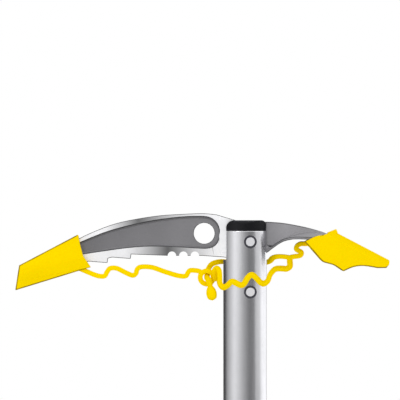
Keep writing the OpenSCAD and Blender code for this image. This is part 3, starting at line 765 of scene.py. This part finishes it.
class AXE_OT_covers(bpy.types.Operator):
    """Dress the two covers in moulded rubber"""

    bl_idname = "axe.covers"
    bl_label = "Covers"

    def execute(self, context):
        edge = context.scene.axe_form.rubber_edge
        for node, name in (("pick_cover", "pick_sheath"), ("adze_cover", "adze_sheath")):
            # Rims of the covers that face down or towards the pick's point take the painted rim
            # shade
            sheath = dress(node, name, node, ["rubber", "soiled"], edge, COVER_SHARP)
            sheath.visible_glossy = False
        return {"FINISHED"}


class AXE_OT_straps(bpy.types.Operator):
    """Mould the straps, the ring and the toggle"""

    bl_idname = "axe.straps"
    bl_label = "Straps"

    def execute(self, context):
        form = context.scene.axe_form
        side, steps = form.strap_side, form.strap_steps

        wave = swept_strap(PICK_ROUTE, steps, side, tips=(SUNK_TIP, SUNK_TIP))
        link = new_piece("pick_strap", wave, "rubber")
        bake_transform(link)
        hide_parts("pick_link")

        front = swept_strap(FRONT_ROUTE, steps, side, tips=(SUNK_TIP, 1))
        self.add_ring(front, side * RING_SECTION)
        loop = new_piece("front_strand", front, "rubber")
        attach(loop, "axe")
        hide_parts("loop_strap")

        back = swept_strap(BACK_ROUTE, steps, side * TAIL_SECTION)
        tail = new_piece("tail_strap", back, "rubber")
        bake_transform(tail)
        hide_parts("tail_strand")

        bend = swept_strap(ADZE_ROUTE, steps, side * FOLD_SECTION, tips=(1, SUNK_TIP))
        fold = new_piece("adze_strap", bend, "rubber")
        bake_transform(fold)
        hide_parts("adze_link")

        bulb = dress("toggle", "toggle_bulb", "toggle", ["rubber"])
        bulb.visible_glossy = False
        for piece in (link, loop, tail, fold):
            piece.visible_glossy = False
        return {"FINISHED"}

    def add_ring(self, bm, side):
        """Spins the strap's section round the ring's axis"""
        centre = place(RING_AT)
        corners = [bm.verts.new(centre + Vector((RING_RADIUS + a, b, 0)))
                   for a, b in strap_profile(side)]
        edges = [bm.edges.new((corners[k - 1], corners[k])) for k in range(len(corners))]
        bmesh.ops.spin(bm, geom=corners + edges, cent=centre, axis=(0, 1, 0),
                       angle=math.tau, steps=RING_STEPS, use_merge=True, use_duplicate=False)
        bmesh.ops.recalc_face_normals(bm, faces=bm.faces)
        smooth_shading(bm, STRAP_CRISP)


# ---- stage --------------------------------------------------------------------------

# Metres: places of the lamps from the middle of the view, and sides of their squares
KEY_AT = Vector((-0.6, -1.1, 0.42))
KEY_SIDE = 0.7
FILL_AT = Vector((0.9, -0.5, 0.25))
FILL_SIDE = 0.9
FLOOR_REACH = 4
TENT_RADIUS = 2.6
TENT_HEIGHT = 2
TENT_SIDES = 96
CAMERA_SIGHT = 20
# Strength of the white room as light, beside 1 as background
ROOM_LIGHT = 0.9

class AXE_OT_stage(bpy.types.Operator):
    """Add the floor, the lamps, the surroundings and the camera"""

    bl_idname = "axe.stage"
    bl_label = "Stage"

    def execute(self, context):
        stage = context.scene.axe_stage
        centre = Vector((stage.centre_x, 0, CAP_TOP + stage.centre_up))
        self.floor(context)
        self.tent(context)
        self.surroundings(context.scene)
        self.lamp(context, "key_lamp", centre + KEY_AT, centre, KEY_SIDE, stage.key_power)
        self.lamp(context, "fill_lamp", centre + FILL_AT, centre, FILL_SIDE, stage.fill_power)
        self.camera(context, stage, centre)
        context.scene.view_settings.view_transform = "Standard"
        return {"FINISHED"}

    def floor(self, context):
        bm = bmesh.new()
        bmesh.ops.create_grid(bm, x_segments=1, y_segments=1, size=FLOOR_REACH)
        mesh = bpy.data.meshes.new("studio_floor")
        bm.to_mesh(mesh)
        bm.free()
        floor = bpy.data.objects.new("studio_floor", mesh)
        context.collection.objects.link(floor)
        mesh.materials.append(floor_material())

    def tent(self, context):
        """A banded light tent that only the metal's reflections see"""
        bm = bmesh.new()
        bmesh.ops.create_cone(bm, cap_ends=False, segments=TENT_SIDES, radius1=TENT_RADIUS,
                              radius2=TENT_RADIUS, depth=TENT_HEIGHT)
        mesh = bpy.data.meshes.new("light_tent")
        bm.to_mesh(mesh)
        bm.free()
        tent = bpy.data.objects.new("light_tent", mesh)
        tent.location = (0, 0, CAP_TOP)
        for kind in ("camera", "diffuse", "transmission", "volume_scatter", "shadow"):
            setattr(tent, "visible_" + kind, False)
        context.collection.objects.link(tent)
        mesh.materials.append(tent_material())

    def surroundings(self, scene):
        """A white room, a little dimmer as light than as background"""
        world = bpy.data.worlds.new("studio")
        scene.world = world
        world.use_nodes = True
        tree = world.node_tree
        tree.nodes.clear()
        out = tree.nodes.new("ShaderNodeOutputWorld")
        white = tree.nodes.new("ShaderNodeBackground")
        white.inputs["Color"].default_value = (1, 1, 1, 1)
        soft = tree.nodes.new("ShaderNodeBackground")
        soft.inputs["Color"].default_value = (1, 1, 1, 1)
        soft.inputs["Strength"].default_value = ROOM_LIGHT
        rays = tree.nodes.new("ShaderNodeLightPath")
        seen = rays.outputs["Is Camera Ray"]
        for kind in ("Is Glossy Ray", "Is Transmission Ray"):
            either = tree.nodes.new("ShaderNodeMath")
            either.operation = "MAXIMUM"
            tree.links.new(seen, either.inputs[0])
            tree.links.new(rays.outputs[kind], either.inputs[1])
            seen = either.outputs[0]
        choose = tree.nodes.new("ShaderNodeMixShader")
        tree.links.new(seen, choose.inputs[0])
        tree.links.new(soft.outputs[0], choose.inputs[1])
        tree.links.new(white.outputs[0], choose.inputs[2])
        tree.links.new(choose.outputs[0], out.inputs[0])

    def lamp(self, context, name, at, target, size, power):
        data = bpy.data.lights.new(name, "AREA")
        data.shape = "SQUARE"
        data.size = size
        data.energy = power
        lamp = bpy.data.objects.new(name, data)
        lamp.location = at
        lamp.rotation_euler = (target - at).to_track_quat("-Z", "Y").to_euler()
        context.collection.objects.link(lamp)

    def camera(self, context, stage, centre):
        data = bpy.data.cameras.new("camera")
        data.lens = stage.lens
        data.clip_end = CAMERA_SIGHT
        away = stage.frame_width * stage.lens / data.sensor_width
        camera = bpy.data.objects.new("camera", data)
        camera.location = centre - Vector((0, away, 0))
        camera.rotation_euler = (math.pi / 2, 0, 0)
        context.collection.objects.link(camera)
        context.scene.camera = camera
        if camera.location.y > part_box("shaft_tube")[0][1]:
            raise RuntimeError("the camera doesn't stand in front of the axe")


# ---- panel and registration ---------------------------------------------------------

OPERATORS = (AXE_OT_stage, AXE_OT_head, AXE_OT_shaft, AXE_OT_rivets, AXE_OT_spike,
             AXE_OT_covers, AXE_OT_straps)


class AXE_PT_panel(bpy.types.Panel):
    """Lists the pieces in the sidebar"""

    bl_idname = "AXE_PT_panel"
    bl_label = "Ice axe"
    bl_space_type = "VIEW_3D"
    bl_region_type = "UI"
    bl_category = "Ice axe"

    def draw(self, context):
        for operator in OPERATORS:
            self.layout.operator(operator.bl_idname)
        for group in (context.scene.axe_finish, context.scene.axe_form, context.scene.axe_stage):
            for name in group.__annotations__:
                self.layout.prop(group, name)


GROUPS = (AXE_PG_finish, AXE_PG_form, AXE_PG_stage)


def register():
    for cls in GROUPS + OPERATORS + (AXE_PT_panel,):
        bpy.utils.register_class(cls)
    bpy.types.Scene.axe_finish = PointerProperty(type=AXE_PG_finish)
    bpy.types.Scene.axe_form = PointerProperty(type=AXE_PG_form)
    bpy.types.Scene.axe_stage = PointerProperty(type=AXE_PG_stage)


def unregister():
    for name in ("axe_finish", "axe_form", "axe_stage"):
        delattr(bpy.types.Scene, name)
    for cls in reversed(GROUPS + OPERATORS + (AXE_PT_panel,)):
        bpy.utils.unregister_class(cls)


def main():
    register()
    bpy.ops.axe.stage()
    bpy.ops.axe.head()
    bpy.ops.axe.shaft()
    bpy.ops.axe.rivets()
    bpy.ops.axe.spike()
    bpy.ops.axe.covers()
    bpy.ops.axe.straps()


if __name__ == "__main__":
    main()
